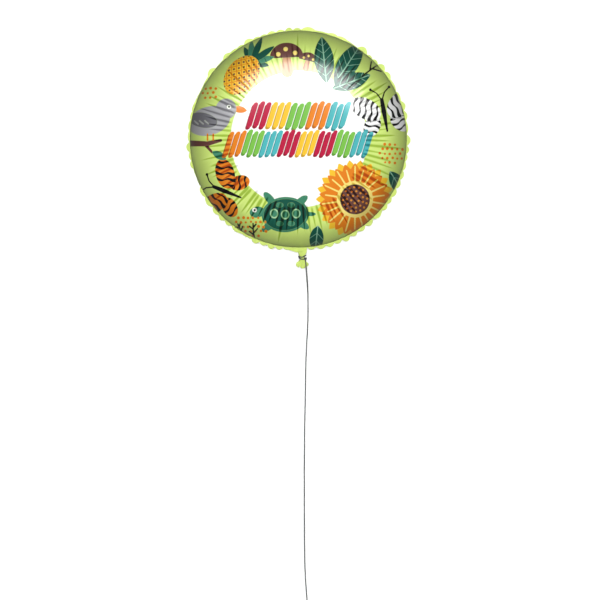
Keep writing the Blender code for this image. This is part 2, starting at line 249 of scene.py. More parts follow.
class PrintInks(PropertyGroup):
    """Colours of the print and of the plain foil"""
    lime: ink("Lime", (206, 231, 122), "Ground round the picture")
    film: ink("Film", (194, 214, 113), "Unprinted rim, neck, tail and back")
    white: ink("White", (252, 252, 251), "Middle of the picture")
    leaf: ink("Leaf green", (18, 82, 66), "Dark leaves")
    vein: ink("Vein green", (140, 190, 160), "Veins of the dark leaves")
    mid_green: ink("Mid green", (62, 130, 100), "Turtle and lighter leaves")
    pale_green: ink("Pale green", (160, 205, 165), "Lightest green")
    orange: ink("Orange", (222, 126, 30), "Petals and wings")
    yellow: ink("Yellow", (238, 188, 48), "Fruit and strokes")
    straw: ink("Straw", (243, 220, 120), "Pale yellow lines")
    tan: ink("Tan", (190, 140, 96), "Stems")
    brown: ink("Brown", (98, 60, 54), "Branch and seeds")
    grey: ink("Grey", (168, 168, 172), "Bird")
    dark_grey: ink("Dark grey", (112, 112, 118), "Wing of the bird")
    black: ink("Black", (16, 16, 20), "Stripes, twigs and eyes")
    crimson: ink("Crimson", (180, 22, 60), "Strokes")
    teal: ink("Teal", (74, 174, 178), "Strokes")
    grass: ink("Grass green", (118, 184, 72), "Strokes")


class StringInks(PropertyGroup):
    """Colours of the string"""
    # The material mixes these two at random along the fibres, not by raised side and groove
    light: ink("Light strand", (88, 88, 90), "Raised side of a strand")
    dark: ink("Dark strand", (44, 44, 48), "Grooves between the strands")
    band: ink("Band", (205, 178, 138), "Paper band round the coil")


class StageLook(PropertyGroup):
    """Floor, light and camera"""
    floor: ink("Floor", (244, 244, 244), "Colour of the floor")
    overhead: FloatProperty(name="Overhead", default=3.6, min=0.0,
                            description="Strength of the even light from straight above")
    veil: FloatProperty(name="Veil", default=190.0, min=0.0, unit="POWER",
                        description="Power of the panel that only shows as a soft gloss")
    sky: FloatProperty(name="Sky", default=0.16, min=0.0,
                       description="Brightness of the room above the floor")
    bounce: FloatProperty(name="Bounce", default=0.30, min=0.0,
                          description="Brightness of the light from below")
    lens: FloatProperty(name="Lens", default=600.0, min=1.0, subtype="DISTANCE_CAMERA",
                        description="Focal length of the camera in millimetres")


def ease(start, end, value):
    """Goes smoothly from 0 at start to 1 at end, for numbers and arrays."""
    share = np.clip((value - start) / (end - start), 0.0, 1.0)
    return share * share * (3 - 2 * share)


def running_sum(values, step):
    """The integral of evenly spaced values from the first to each of them."""
    return np.concatenate(([0.0], np.cumsum((values[1:] + values[:-1]) / 2 * step)))


class FilledShape:
    """The figures of the filled balloon, worked out from the flat sheets' sizes."""

    def __init__(self, sizes):
        self.sizes = sizes
        self.radius = sizes.flat_radius / FLAT_TO_FULL
        turn = np.linspace(0, math.pi / 2, 4001)
        stretch = 1 / np.sqrt(1 + np.sin(turn) ** 2)
        self.share = np.sin(turn)
        self.arc = running_sum(stretch, turn[1]) * self.radius
        rise = running_sum(stretch * self.share ** 2, turn[1]) * self.radius
        self.height = rise[-1] - rise
        spot = sizes.flat_spot / self.radius
        self.middle = sizes.rim_face + np.interp(spot, self.share, self.height)
        self.tie_y = -self.radius - sizes.tie_place

    def at_arc(self, share_of_arc):
        """Radius as a share and height over the rim, for a share of the way to the seal."""
        arc = np.asarray(share_of_arc) * self.arc[-1]
        return np.interp(arc, self.arc, self.share), np.interp(arc, self.arc, self.height)


class Rim:
    """The mesh columns round the rim, anticlockwise from the neck's -X side, as arrays."""

    def __init__(self, shape):
        seal = shape.sizes.seal_width
        neck_half = math.asin(shape.sizes.neck_root / 2 / shape.radius)
        neck_start = math.asin(shape.sizes.neck_x / shape.radius) - neck_half
        share = np.arange(NECK_COLUMNS) / NECK_COLUMNS
        parts = [(neck_start + 2 * neck_half * share, seal + (ROOT_REACH - 1) * seal * share,
                  np.zeros(NECK_COLUMNS), -NECK_SWELL * np.cos(2 * math.pi * share))]
        rng = random.Random(RIM_SEED)
        split = random.Random(RIM_SEED + 1)
        spans = [rng.uniform(*LOBE_SPAN) for _ in range(LOBES)]
        notches = [seal * split.uniform(*NOTCH_REACH) for _ in range(LOBES + 1)]
        start = neck_start + 2 * neck_half
        turn = 2 * math.pi - 2 * neck_half
        share = np.arange(LOBE_COLUMNS) / LOBE_COLUMNS
        for lobe, span in enumerate(spans):
            bumps = 2 if span > WIDE_LOBE else 1
            bump = np.floor(share * bumps)
            bow = (1 - (2 * (share * bumps - bump) - 1) ** 2) ** 1.05
            stand = SCALLOP_FOOT + (1 - SCALLOP_FOOT) * bow
            stand *= np.where(bump == split.randrange(2), split.uniform(*LESSER_SCALLOP), 1.0)
            sweep = turn * span / sum(spans)
            reach = seal * rng.uniform(*LOBE_REACH)
            if rng.random() < FLAT_LOBES:
                reach = seal * FLAT_REACH
            wide = 0.5 + 0.5 * math.cos(start + sweep / 2 - WIDEST_SEAL)
            reach = max(reach, seal * WIDEST_REACH * wide ** 2)
            wave = shape.sizes.seal_wave * rng.uniform(*LOBE_WAVE) * (1 if lobe % 2 else -1)
            swell = rng.uniform(*LOBE_SWELL)
            place = start + sweep * share
            to_neck = (2 * math.pi + neck_start - place) * shape.radius
            shoulder = seal * np.maximum(0.0, 1 - to_neck / SHOULDER)
            notch = notches[lobe] + (notches[lobe + 1] - notches[lobe]) * share
            height = np.maximum(reach, notch) - notch
            scallop = notch + height * (stand - SCALLOP_FOOT) / (1 - SCALLOP_FOOT)
            parts.append((place, np.maximum(scallop, shoulder), wave * stand,
                          -swell * np.cos(2 * math.pi * share)))
            start += sweep
        self.angle, self.flange, self.rise, self.swell = map(np.concatenate, zip(*parts))


def creases(seed):
    """The dome's creases as (angle, depth, inner share, outer share, half width, bend)."""
    rng = random.Random(seed)
    found = []
    for number in range(CREASES):
        shift = rng.uniform(-CREASE_SHIFT, CREASE_SHIFT)
        angle = 2 * math.pi / CREASES * (number + shift)
        inner = rng.uniform(*CREASE_START)
        outer = rng.uniform(*CREASE_END)
        if rng.random() < LONG_CREASES:
            outer = LONG_END
        strong = np.dot(CREASE_DEPTHS, (1, math.cos(4 * angle), math.cos(angle)))
        found.append((angle, strong * rng.uniform(*CREASE_STRENGTH), inner, outer,
                      rng.uniform(*CREASE_HALF_WIDTH), rng.uniform(-CREASE_BEND, CREASE_BEND)))
    return found


def crease_relief(rim, shape, found, share, column):
    """The creases at each point of the dome: relief in crease depths, and depth of valley."""
    relief = np.zeros(len(share))
    valleys = np.zeros(len(share))
    for place, depth, inner, outer, half_width, bend in found:
        opened = ease(inner + FADE_IN[0], inner + FADE_IN[1], share)
        closed = ease(outer + FADE_OUT[0], outer + FADE_OUT[1], share)
        window = depth * opened * (1 - closed)
        away = rim.angle[column] - place - bend * (share - 0.7)
        away = ((away + math.pi) % (2 * math.pi) - math.pi) * share * shape.radius
        tapered = half_width * (1 - TAPER * ease(outer - TAPER_LENGTH, outer, share))
        valley = window * np.exp(-np.abs(away / tapered) ** 1.8)
        relief += window * RIDGE_HEIGHT * np.exp(-(away / RIDGE_WIDTH) ** 2) - valley
        valleys += valley
    return relief, valleys


def rolled_half():
    """A closed half before it takes its shape, as a grid rolled round the Z axis.

    Its rows become rings, and each point knows its ring and its column.
    """
    bm = bmesh.new()
    layers = {name: bm.verts.layers.int.new(name) for name in ("ring", "column")}
    bmesh.ops.create_grid(bm, x_segments=COLUMNS, y_segments=INNER_POLE_RING, size=1.0)
    for vert in bm.verts:
        column = round((vert.co.x + 1) / 2 * COLUMNS) % COLUMNS
        ring = round((vert.co.y + 1) / 2 * INNER_POLE_RING)
        vert[layers["column"]] = column
        vert[layers["ring"]] = ring
        turn = 2 * math.pi * column / COLUMNS
        reach = min(ring, INNER_POLE_RING - ring)
        vert.co = (reach * math.sin(turn), -reach * math.cos(turn), ring)
    bmesh.ops.remove_doubles(bm, verts=bm.verts, dist=1e-5)
    return bm, layers


def neck_stations(sizes):
    """Places along the neck: distance from the seal, width, thickness, ruffle, tail share."""
    root = NECK_STARTS * sizes.tie_place
    start = sizes.tie_place - sizes.tie_stretch / 2
    end = sizes.tie_place + sizes.tie_stretch / 2
    stations = []
    for share in ROOT_STATIONS:
        width = sizes.neck_root + (sizes.neck_width - sizes.neck_root) * share ** 1.3
        thickness = sizes.neck_thickness * (ROOT_THICKNESS + (1 - ROOT_THICKNESS) * share)
        stations.append((root + (start - root) * share, width, thickness, 0.0, 0.0))
    for share in TIE_STATIONS:
        squeeze = 1 - TIE_SQUEEZE * float(ease(0.0, 0.4, share))
        stations.append((start + (end - start) * share, sizes.neck_width * squeeze,
                         sizes.neck_thickness * squeeze, 0.0, 0.0))
    _, narrow, thick, _, _ = stations[-1]
    for share in TAIL_STATIONS:
        opened = 1 - max(0.0, 1 - share / TAIL_OPENS) ** 1.25
        width = narrow + (sizes.tail_width - narrow) * opened
        thickness = sizes.tail_thickness + (thick - sizes.tail_thickness) * (1 - share) ** 3
        stations.append((end, width, thickness, sizes.tail_ruffle * share, share))
    return stations


def tail_end(across):
    """Length of the tail as a share, from -1 at one edge to 1 at the other."""
    notches = sum(depth * math.exp(-((across - middle) / TAIL_NOTCH_WIDTH) ** 2)
                  for depth, middle in TAIL_NOTCHES)
    return 1 - TAIL_ROUNDING * across ** 4 - notches


def neck_point(shape, station, column, side, outer_face):
    """A point of the neck or tail, on the middle face or the outer face of its half."""
    sizes = shape.sizes
    along, width, thickness, ruffle, tail_share = station
    across = 2 * column / NECK_COLUMNS - 1
    along += sizes.tail_length * tail_share * tail_end(across)
    height = ruffle * math.cos(math.pi * (across - 0.1) / RUFFLE_PITCH) + side * INNER_FACE
    if outer_face:
        swelling = thickness / 2 * math.sqrt(1 - 0.95 * across ** 2)
        gathered = ease(*PLEATS_START, along - sizes.tail_length * tail_share) * (1 - tail_share)
        pleats = PLEAT_DEPTH * (math.cos(PLEATS * math.pi * across + 0.8 * side) - 1)
        height += side * swelling * (1 + gathered * pleats)
    return Vector((sizes.neck_x + across * width / 2, -shape.radius - along,
                   shape.middle + height))


def draw_neck(bm, shape, side, layers):
    """Extrudes the rim's edge between the neck's columns through every station."""
    wall = []
    for face in bm.faces:
        rings = {vert[layers["ring"]] for vert in face.verts}
        last = max(vert[layers["column"]] for vert in face.verts)
        if rings == {EDGE_RING, INNER_EDGE_RING} and last <= NECK_COLUMNS:
            wall.append(face)
    for station in neck_stations(shape.sizes):
        grown = bmesh.ops.extrude_face_region(bm, geom=wall)["geom"]
        bmesh.ops.delete(bm, geom=wall, context="FACES")
        wall = [item for item in grown if isinstance(item, bmesh.types.BMFace)]
        for vert in grown:
            if isinstance(vert, bmesh.types.BMVert):
                outer_face = vert[layers["ring"]] == EDGE_RING
                vert.co = neck_point(shape, station, vert[layers["column"]], side, outer_face)


def foil_half(name, side, crease_seed):
    """One foil as a mesh object: front 1, back -1. Gives it and the figures of its shape."""
    shape = FilledShape(bpy.context.scene.foil_sizes)
    bm, layers = rolled_half()
    ridge_layer = bm.verts.layers.float.new("ridge")
    valley_layer = bm.verts.layers.float.new("valley")
    bm.verts.index_update()
    ring = np.array([vert[layers["ring"]] for vert in bm.verts])
    column = np.array([vert[layers["column"]] for vert in bm.verts])
    place, ridge, valley = foil_points(shape, Rim(shape), side, crease_seed, ring, column)
    for vert in bm.verts:
        vert.co = place[vert.index]
        vert[ridge_layer] = ridge[vert.index]
        vert[valley_layer] = valley[vert.index]
    draw_neck(bm, shape, side, layers)
    for face in bm.faces:
        face.smooth = True
        printed = max(vert[layers["ring"]] for vert in face.verts) <= SEAL_RING
        face.material_index = 0 if printed else 1
    mesh = finished_mesh(bm, bpy.data.meshes.new(name))
    mesh.set_sharp_from_angle(angle=math.radians(50))
    return add_object(name, mesh), shape


def foil_points(shape, rim, side, crease_seed, ring, column):
    """Each point's place before the neck is drawn, its ridge height and its valley depth."""
    sizes = shape.sizes
    share, height = shape.at_arc(np.minimum(ring, SEAL_RING) / SEAL_RING)
    slope = np.arcsin(np.minimum(share ** 2, 1.0))
    relief, valley = crease_relief(rim, shape, creases(crease_seed), share, column)
    relief[ring > SEAL_RING] = 0.0
    valley[ring > SEAL_RING] = 0.0
    out = sizes.crease_depth * relief
    swells = ease(*SWELL_RISES, share) * (1 - SWELL_LOSS * ease(*SWELL_FALLS, share))
    out += sizes.swell_depth * rim.swell[column] * swells * (ring < SEAL_RING)
    across = shape.radius * share + out * share ** 2
    up = side * (sizes.rim_face + height + out * np.cos(slope))
    up += SEAL_RISE * rim.rise[column] * ease(*WAVE_STARTS, share)

    on_flange = (ring > SEAL_RING) & (ring < INNER_POLE_RING)
    step = np.where(ring <= EDGE_RING, ring - SEAL_RING, INNER_SEAL_RING - ring)
    stand = np.clip(step / FLANGE_RINGS, 0.0, 1.0)
    outer_face = ring <= EDGE_RING
    face = sizes.rim_face + (sizes.film - sizes.rim_face) * ease(0, 1, stand)
    face = np.where(outer_face, face, INNER_FACE)
    across = np.where(on_flange, shape.radius + rim.flange[column] * stand, across)
    wave = rim.rise[column] * (SEAL_RISE + (1 - SEAL_RISE) * stand)
    up = np.where(on_flange, side * face + wave, up)
    across = np.where(ring == INNER_POLE_RING, 0.0, across)
    up = np.where(ring == INNER_POLE_RING, side * INNER_FACE, up)
    height = np.maximum(shape.middle + up, 0.0)
    angle = rim.angle[column]
    place = np.stack((across * np.sin(angle), -across * np.cos(angle), height), axis=1)
    return place, relief, valley


def finished_mesh(bm, mesh):
    """Writes a bmesh into a mesh with its normals outward."""
    bmesh.ops.recalc_face_normals(bm, faces=bm.faces)
    bm.to_mesh(mesh)
    bm.free()
    return mesh


def add_object(name, data):
    """Puts a new object in the scene."""
    obj = bpy.data.objects.new(name, data)
    bpy.context.scene.collection.objects.link(obj)
    return obj


class Nodes:
    """Adds nodes to a material. Each call gives the new node's output."""

    def __init__(self, material):
        self.tree = material.node_tree

    def new(self, kind, **settings):
        """A node of that kind."""
        node = self.tree.nodes.new("ShaderNode" + kind)
        for name, value in settings.items():
            setattr(node, name, value)
        return node

    def put(self, value, socket):
        """Links an output to a socket, or sets the socket to a number or a colour."""
        if isinstance(value, bpy.types.NodeSocket):
            self.tree.links.new(value, socket)
        elif hasattr(value, "__len__") and socket.type == "RGBA" and len(value) == 3:
            socket.default_value = (*value, 1.0)
        else:
            socket.default_value = value

    def fill(self, node, *values):
        """Gives the values to a node's first sockets and returns its first output."""
        for value, socket in zip(values, node.inputs):
            self.put(value, socket)
        return node.outputs[0]

    def math(self, operation, *values):
        """A Math node."""
        return self.fill(self.new("Math", operation=operation), *values)

    def attribute(self, name):
        """A float attribute of the mesh."""
        return self.new("Attribute", attribute_name=name).outputs["Fac"]

    def smooth(self, value, start, end, low=0.0, high=1.0):
        """Goes smoothly from low at start to high at end."""
        node = self.new("MapRange", interpolation_type="SMOOTHSTEP")
        return self.fill(node, value, start, end, low, high)

    def steps(self, value, colors):
        """One of the colours, each for an even part of 0 to 1."""
        node = self.new("ValToRGB")
        node.color_ramp.interpolation = "CONSTANT"
        elements = node.color_ramp.elements
        for _ in colors[2:]:
            elements.new(0.5)
        for number, (element, color) in enumerate(zip(elements, colors)):
            element.position = number / len(colors)
            element.color = (*color, 1.0)
        return self.fill(node, value)

    def mix(self, factor, first, second):
        """Two colours mixed by a factor."""
        node = self.new("Mix", data_type="RGBA")
        for value, socket in ((factor, "Factor"), (first, 6), (second, 7)):
            self.put(value, node.inputs[socket])
        return node.outputs[2]

    def scaled(self, color, factor):
        """A colour times a number."""
        node = self.new("VectorMath", operation="SCALE")
        self.put(factor, node.inputs["Scale"])
        return self.fill(node, color)

    def place(self):
        """Object coordinates."""
        return self.new("TexCoord").outputs["Object"]

    def noise(self, scale, detail=2.0):
        """A noise texture's value over the object."""
        node = self.new("TexNoise")
        for name, value in (("Vector", self.place()), ("Scale", scale), ("Detail", detail)):
            self.put(value, node.inputs[name])
        return node.outputs[0]

    def bump(self, height, distance, strength):
        """A bump of that height in metres."""
        node = self.new("Bump")
        for name, value in (("Height", height), ("Distance", distance), ("Strength", strength)):
            self.put(value, node.inputs[name])
        return node.outputs[0]


def new_material(name, **sockets):
    """A Principled material with constant sockets. Gives it, its nodes and its shader."""
    material = bpy.data.materials.new(name)
    material.use_nodes = True
    shader = material.node_tree.nodes["Principled BSDF"]
    nodes = Nodes(material)
    for socket, value in sockets.items():
        nodes.put(value, shader.inputs[socket.replace("_", " ")])
    return material, nodes, shader


PLAIN_INKS = ("white", "pale_green", "mid_green", "leaf", "orange", "yellow",
              "straw", "tan", "brown", "grey", "dark_grey", "crimson", "teal", "grass", "black")
PATTERNED_INKS = ("veined", "white_striped", "orange_striped", "hatched")
UNITS = 100                   # print units in the filled radius

# The patterns, in print units
WHITE_MIDDLE = (0.6, -0.8, 62.6)           # place and radius
INK_EDGE = 0.22               # half width of an ink's soft edge
VEIN_PITCH, VEIN_SLANT = 7.0, 0.85         # of a leaf's side veins
MIDDLE_VEIN = (0.30, 0.62)    # from full to nothing
SIDE_VEIN = (0.16, 0.46)
STRIPE_PITCH = 5.4
STRIPE_WAVE = (0.55, 0.7)     # how fast and how far
STRIPE_WEDGE = (0.12, 0.55)   # growth across, and half width in the middle
HATCH_PITCH, HATCH_SLANT = 7.2, 1.2        # of a fruit's crossing lines
HATCH_LINE = (0.30, 0.65)
HATCH_DOT = (1.5, 1.1)        # from a field's middle
STROKE_DROP = (1.5, 1.9)      # of the darker sides, to the left and down
STROKE_JUMP = 2.6             # greatest difference in height between strokes
STROKE_ROWS = (               # inks, left end, right end, middle's height, height, seed
    (("crimson", "yellow", "grass", "orange", "teal"), -45.0, 46.0, 21.0, 26.0, 5.0),
    (("orange", "grass", "teal", "crimson", "yellow", "crimson", "grass", "teal"),
     -66.0, 67.0, -4.3, 25.0, 40.0))
STROKES_EACH = 3              # strokes of one ink side by side
STROKE_LEAN = math.tan(math.radians(17))   # to the right
STROKE_WIDTH = 0.76           # of the space for one stroke
SIDE_TONE = 0.60              # of the drop sides beside their own ink

# Depths of valley and ridge between which they show, and their painted shade and highlight
VALLEY_SHOWS = (0.10, 0.56)
RIDGE_SHOWS = (0.03, 0.30)
VALLEY_SHADE_GAMMA, RIDGE_HIGHLIGHT_GAMMA = 0.55, -0.12
VALLEY_PAINTED_SHADE, RIDGE_PAINTED_HIGHLIGHT = -0.32, 0.05

# Shares of the filled radius where painted rim shade grows and the coat fades, and the tone left
SIDE_TURNS, SIDE_PAINTED_SHADE = (0.76, 0.95), 0.77
EDGE_TURNS, EDGE_PAINTED_SHADE = (0.984, 1.0), 0.40
COAT_ENDS = (0.66, 0.92)


def radius_share(nodes, radius):
    """How far from the middle a point is, as a share of the filled radius."""
    flat = nodes.fill(nodes.new("VectorMath", operation="MULTIPLY"), nodes.place(),
                      (1 / radius, 1 / radius, 0))
    size = nodes.new("VectorMath", operation="LENGTH")
    nodes.put(flat, size.inputs[0])
    return size.outputs["Value"]


def painted_crease_and_rim_shade(nodes, color, share):
    """A colour with painted shade in creases and at the rim, and painted highlight on ridges."""
    valley = nodes.smooth(nodes.attribute("valley"), *VALLEY_SHOWS)
    ridge = nodes.smooth(nodes.attribute("ridge"), *RIDGE_SHOWS)
    # Painted shade in the crease valleys and a painted highlight on their ridges
    depth = nodes.math("MULTIPLY_ADD", valley, VALLEY_SHADE_GAMMA, 1.0)
    depth = nodes.math("MULTIPLY_ADD", ridge, RIDGE_HIGHLIGHT_GAMMA, depth)
    tone = nodes.math("MULTIPLY_ADD", valley, VALLEY_PAINTED_SHADE, 1.0)
    tone = nodes.math("MULTIPLY_ADD", ridge, RIDGE_PAINTED_HIGHLIGHT, tone)
    # Painted shade toward the rim, on top of the light's own fall-off there
    side = nodes.math("MULTIPLY", nodes.smooth(share, *SIDE_TURNS, 1.0, SIDE_PAINTED_SHADE),
                      nodes.smooth(share, *EDGE_TURNS, 1.0, EDGE_PAINTED_SHADE))
    return nodes.scaled(nodes.fill(nodes.new("Gamma"), color, depth),
                        nodes.math("MULTIPLY", tone, side))


def leaf_veins(nodes, along, across):
    """Coverage of the pale veins of a dark leaf."""
    aside = nodes.math("ABSOLUTE", across)
    slanted = nodes.math("SUBTRACT", along, nodes.math("MULTIPLY", aside, VEIN_SLANT))
    side_vein = nodes.math("PINGPONG", slanted, VEIN_PITCH / 2)
    return nodes.math("MAXIMUM", nodes.smooth(aside, *MIDDLE_VEIN, 1.0, 0.0),
                      nodes.smooth(side_vein, *SIDE_VEIN, 0.85, 0.0))


def stripes(nodes, along, across):
    """Coverage of wedge-shaped stripes."""
    wave = nodes.math("SINE", nodes.math("MULTIPLY", across, STRIPE_WAVE[0]))
    bent = nodes.math("MULTIPLY_ADD", wave, STRIPE_WAVE[1], along)
    half_width = nodes.math("MULTIPLY_ADD", nodes.math("ABSOLUTE", across), *STRIPE_WEDGE)
    inside = nodes.math("SUBTRACT", half_width, nodes.math("PINGPONG", bent, STRIPE_PITCH / 2))
    return nodes.smooth(inside, -INK_EDGE, INK_EDGE)


def hatch(nodes, along, across, inks):
    """A fruit's skin: crossing orange lines with a brown dot in each field."""
    slanted = nodes.math("MULTIPLY", across, HATCH_SLANT)
    nearest = nodes.math("MINIMUM", *(
        nodes.math("PINGPONG", nodes.math(way, along, slanted), HATCH_PITCH / 2)
        for way in ("ADD", "SUBTRACT")))
    line = nodes.smooth(nearest, *HATCH_LINE, 1.0, 0.0)
    dot = nodes.smooth(nearest, *(HATCH_PITCH / 2 - away for away in HATCH_DOT))
    color = nodes.mix(line, tuple(inks.yellow), tuple(inks.orange))
    return nodes.mix(dot, color, tuple(inks.brown))


def stroke_row(nodes, color, shown, across, up, row):
    """Puts a row of thick leaning strokes over a colour at a place in print units."""
    names, left, right, middle, height, seed = row
    pitch = (right - left) / (len(names) * STROKES_EACH)
    half = height / 2 - STROKE_WIDTH * pitch / 2 - STROKE_JUMP / 2
    for shift, tone in ((1, SIDE_TONE), (0, 1.0)):
        aside = nodes.math("ADD", across, STROKE_DROP[0] * shift - left)
        above = nodes.math("ADD", up, STROKE_DROP[1] * shift - middle)
        upright = nodes.math("MULTIPLY_ADD", above, -STROKE_LEAN, aside)
        number = nodes.math("FLOOR", nodes.math("DIVIDE", upright, pitch))
        chance = nodes.new("TexWhiteNoise", noise_dimensions="1D")
        nodes.put(nodes.math("ADD", number, seed), chance.inputs["W"])
        jump = nodes.math("MULTIPLY_ADD", chance.outputs["Value"], STROKE_JUMP, -STROKE_JUMP / 2)
        from_middle = nodes.math("ABSOLUTE", nodes.math("SUBTRACT", above, jump))
        along = nodes.math("MAXIMUM", nodes.math("SUBTRACT", from_middle, half), 0.0)
        from_line = nodes.math("SUBTRACT", pitch / 2, nodes.math("PINGPONG", upright, pitch / 2))
        squares = nodes.math("ADD", nodes.math("MULTIPLY", along, along),
                             nodes.math("MULTIPLY", from_line, from_line))
        inside = nodes.math("SUBTRACT", STROKE_WIDTH * pitch / 2, nodes.math("SQRT", squares))
        edge = nodes.math("MINIMUM", upright, nodes.math("SUBTRACT", right - left, upright))
        cover = nodes.smooth(nodes.math("MINIMUM", inside, edge), -INK_EDGE, INK_EDGE)
        own = nodes.steps(nodes.math("DIVIDE", upright, right - left),
                          [shown[name] for name in names])
        color = nodes.mix(cover, color, nodes.scaled(own, tone))
    return color


def print_color(nodes, shape, inks):
    """The printed picture's colour from the ink distances on the mesh."""
    along = nodes.attribute("along")
    across = nodes.attribute("across")
    shown = {name: tuple(getattr(inks, name)) for name in PLAIN_INKS}
    striped = stripes(nodes, along, across)
    patterns = (nodes.mix(leaf_veins(nodes, along, across), shown["leaf"], tuple(inks.vein)),
                nodes.mix(striped, shown["white"], shown["black"]),
                nodes.mix(striped, shown["orange"], shown["black"]),
                hatch(nodes, along, across, inks))
    shown.update(zip(PATTERNED_INKS, patterns))
    color = tuple(inks.lime)
    for name, own in shown.items():
        cover = nodes.smooth(nodes.attribute("ink_" + name), -INK_EDGE, INK_EDGE)
        color = nodes.mix(cover, color, own)
    apart = nodes.new("SeparateXYZ")
    nodes.put(nodes.place(), apart.inputs[0])
    across, up = (nodes.math("MULTIPLY", apart.outputs[axis], UNITS / shape.radius)
                  for axis in ("X", "Y"))
    for row in STROKE_ROWS:
        color = stroke_row(nodes, color, shown, across, up, row)
    return color


def foil_finish(name, shape, paint, seal_bump=False):
    """Glossy film. paint makes its colour from the nodes."""
    material, nodes, shader = new_material(
        name, Metallic=0.05, Roughness=0.36, IOR=1.45, Specular_IOR_Level=0.08,
        Coat_Roughness=0.24, Coat_IOR=1.6)
    share = radius_share(nodes, shape.radius)
    color = paint(nodes)
    # Painted shade in the creases and at the rim, and a painted highlight on the ridges
    if not seal_bump:
        color = painted_crease_and_rim_shade(nodes, color, share)
    crinkle = nodes.noise(240.0 if seal_bump else 150.0, 3.0)
    nodes.put(color, shader.inputs["Base Color"])
    nodes.put(nodes.smooth(share, *COAT_ENDS, 1.0, 0.0), shader.inputs["Coat Weight"])
    nodes.put(nodes.bump(crinkle, 0.0003, 0.5), shader.inputs["Normal"])
    return material


def printed_finish(shape):
    """The printed dome."""
    inks = bpy.context.scene.print_inks
    return foil_finish("printed_foil", shape, lambda nodes: print_color(nodes, shape, inks))


def plain_finish(name, shape, seal_bump):
    """Unprinted lime film, slightly mottled."""
    film = tuple(bpy.context.scene.print_inks.film)
    return foil_finish(name, shape, lambda nodes: nodes.scaled(
        film, nodes.smooth(nodes.noise(90.0), 0.3, 0.7, 0.95, 1.03)), seal_bump)


class PrintSheet:
    """The printed picture at each point of the front foil, in print units.

    X goes to the right and Y up from the middle. Each ink is a signed distance, positive
    inside. Later paint covers earlier paint.
    """
    unpainted = -9.0
    margin = 1.3              # round a figure that its own coordinates still cover

    def __init__(self, across, up):
        self.across = across
        self.up = up
        self.inks = {name: np.full(len(across), self.unpainted)
                     for name in PLAIN_INKS + PATTERNED_INKS}
        self.along_figure = np.zeros(len(across))
        self.across_figure = np.zeros(len(across))

    def paint(self, name, inside):
        """Covers what is inside with one ink."""
        for other, field in self.inks.items():
            if other == name:
                np.maximum(field, inside, out=field)
            else:
                np.minimum(field, -inside, out=field)

    def figure_frame(self, inside, along, across):
        """Keeps a figure's own coordinates, which veins and stripes follow."""
        near = inside > -self.margin
        self.along_figure[near] = along[near]
        self.across_figure[near] = across[near]

    def turned(self, x, y, turn):
        """Coordinates from (x, y), the first along a way turned anticlockwise in degrees."""
        cosine = math.cos(math.radians(turn))
        sine = math.sin(math.radians(turn))
        aside = self.across - x
        above = self.up - y
        return aside * cosine + above * sine, above * cosine - aside * sine

    def disc(self, x, y, radius):
        """Inside of a circle."""
        return radius - np.hypot(self.across - x, self.up - y)

    def oval(self, x, y, half_length, half_width, turn=0.0):
        """Inside of an ellipse."""
        along, across = self.turned(x, y, turn)
        reach = np.hypot(along / half_length, across / half_width) + 1e-6
        return np.hypot(along, across) * (1 / reach - 1)

    def stroke(self, points, widths):
        """Inside of a stroke through the points, as wide as the widths there."""
        best = np.full(len(self.across), -np.inf)
        for (x0, y0), (x1, y1), w0, w1 in zip(points, points[1:], widths, widths[1:]):
            way_x = x1 - x0
            way_y = y1 - y0
            share = ((self.across - x0) * way_x + (self.up - y0) * way_y)
            share = np.clip(share / (way_x ** 2 + way_y ** 2), 0.0, 1.0)
            away = np.hypot(self.across - x0 - share * way_x, self.up - y0 - share * way_y)
            best = np.maximum(best, (w0 + (w1 - w0) * share) / 2 - away)
        return best

    def blade(self, x, y, length, width, turn):
        """Inside of a pointed leaf from its foot at (x, y), with its own coordinates."""
        along, across = self.turned(x, y, turn)
        half = length / 2
        bend = (half ** 2 + (width / 2) ** 2) / width
        inside = bend - np.hypot(along - half, np.abs(across) + bend - width / 2)
        return inside, along, across


class Figure:
    """A figure's own frame on the sheet, in its size and turned anticlockwise in degrees."""

    def __init__(self, sheet, x, y, size, turn=0.0):
        self.sheet = sheet
        self.middle = (x, y)
        self.size = size
        self.turn = turn

    def at(self, along, across):
        """A place in print units."""
        cosine = math.cos(math.radians(self.turn))
        sine = math.sin(math.radians(self.turn))
        return (self.middle[0] + self.size * (along * cosine - across * sine),
                self.middle[1] + self.size * (along * sine + across * cosine))

    def oval(self, ink, along, across, half_length, half_width, lean=0.0):
        """Paints an ellipse and gives its inside."""
        inside = self.sheet.oval(*self.at(along, across), half_length * self.size,
                                 half_width * self.size, self.turn + lean)
        self.sheet.paint(ink, inside)
        return inside

    def leaf(self, ink, along, across, length, width, lean=0.0):
        """Paints a pointed leaf from its foot."""
        plain_leaf(self.sheet, ink, *self.at(along, across), length * self.size,
                   width * self.size, self.turn + lean)

    def disc(self, ink, along, across, radius):
        """Paints a circle with its radius in print units."""
        self.sheet.paint(ink, self.sheet.disc(*self.at(along, across), radius))

    def stroke(self, ink, places, widths):
        """Paints a stroke with its widths in print units."""
        self.sheet.paint(ink, self.sheet.stroke([self.at(*place) for place in places], widths))

    def eye(self, along, across, radius):
        """Paints a round eye with its radius in print units."""
        self.disc("white", along, across, radius)
        self.disc("black", along, across, radius * 0.48)


def veined_leaf(sheet, x, y, length, width, turn):
    """A dark leaf with pale veins."""
    inside, along, across = sheet.blade(x, y, length, width, turn)
    sheet.paint("veined", inside)
    sheet.figure_frame(inside, along, across)


def plain_leaf(sheet, ink, x, y, length, width, turn):
    """A leaf in one ink."""
    sheet.paint(ink, sheet.blade(x, y, length, width, turn)[0])


def all_round(sheet, x, y, size, count, shift):
    """Frames that are turned evenly all round a place."""
    return [Figure(sheet, x, y, size, 360 * (k + shift) / count) for k in range(count)]


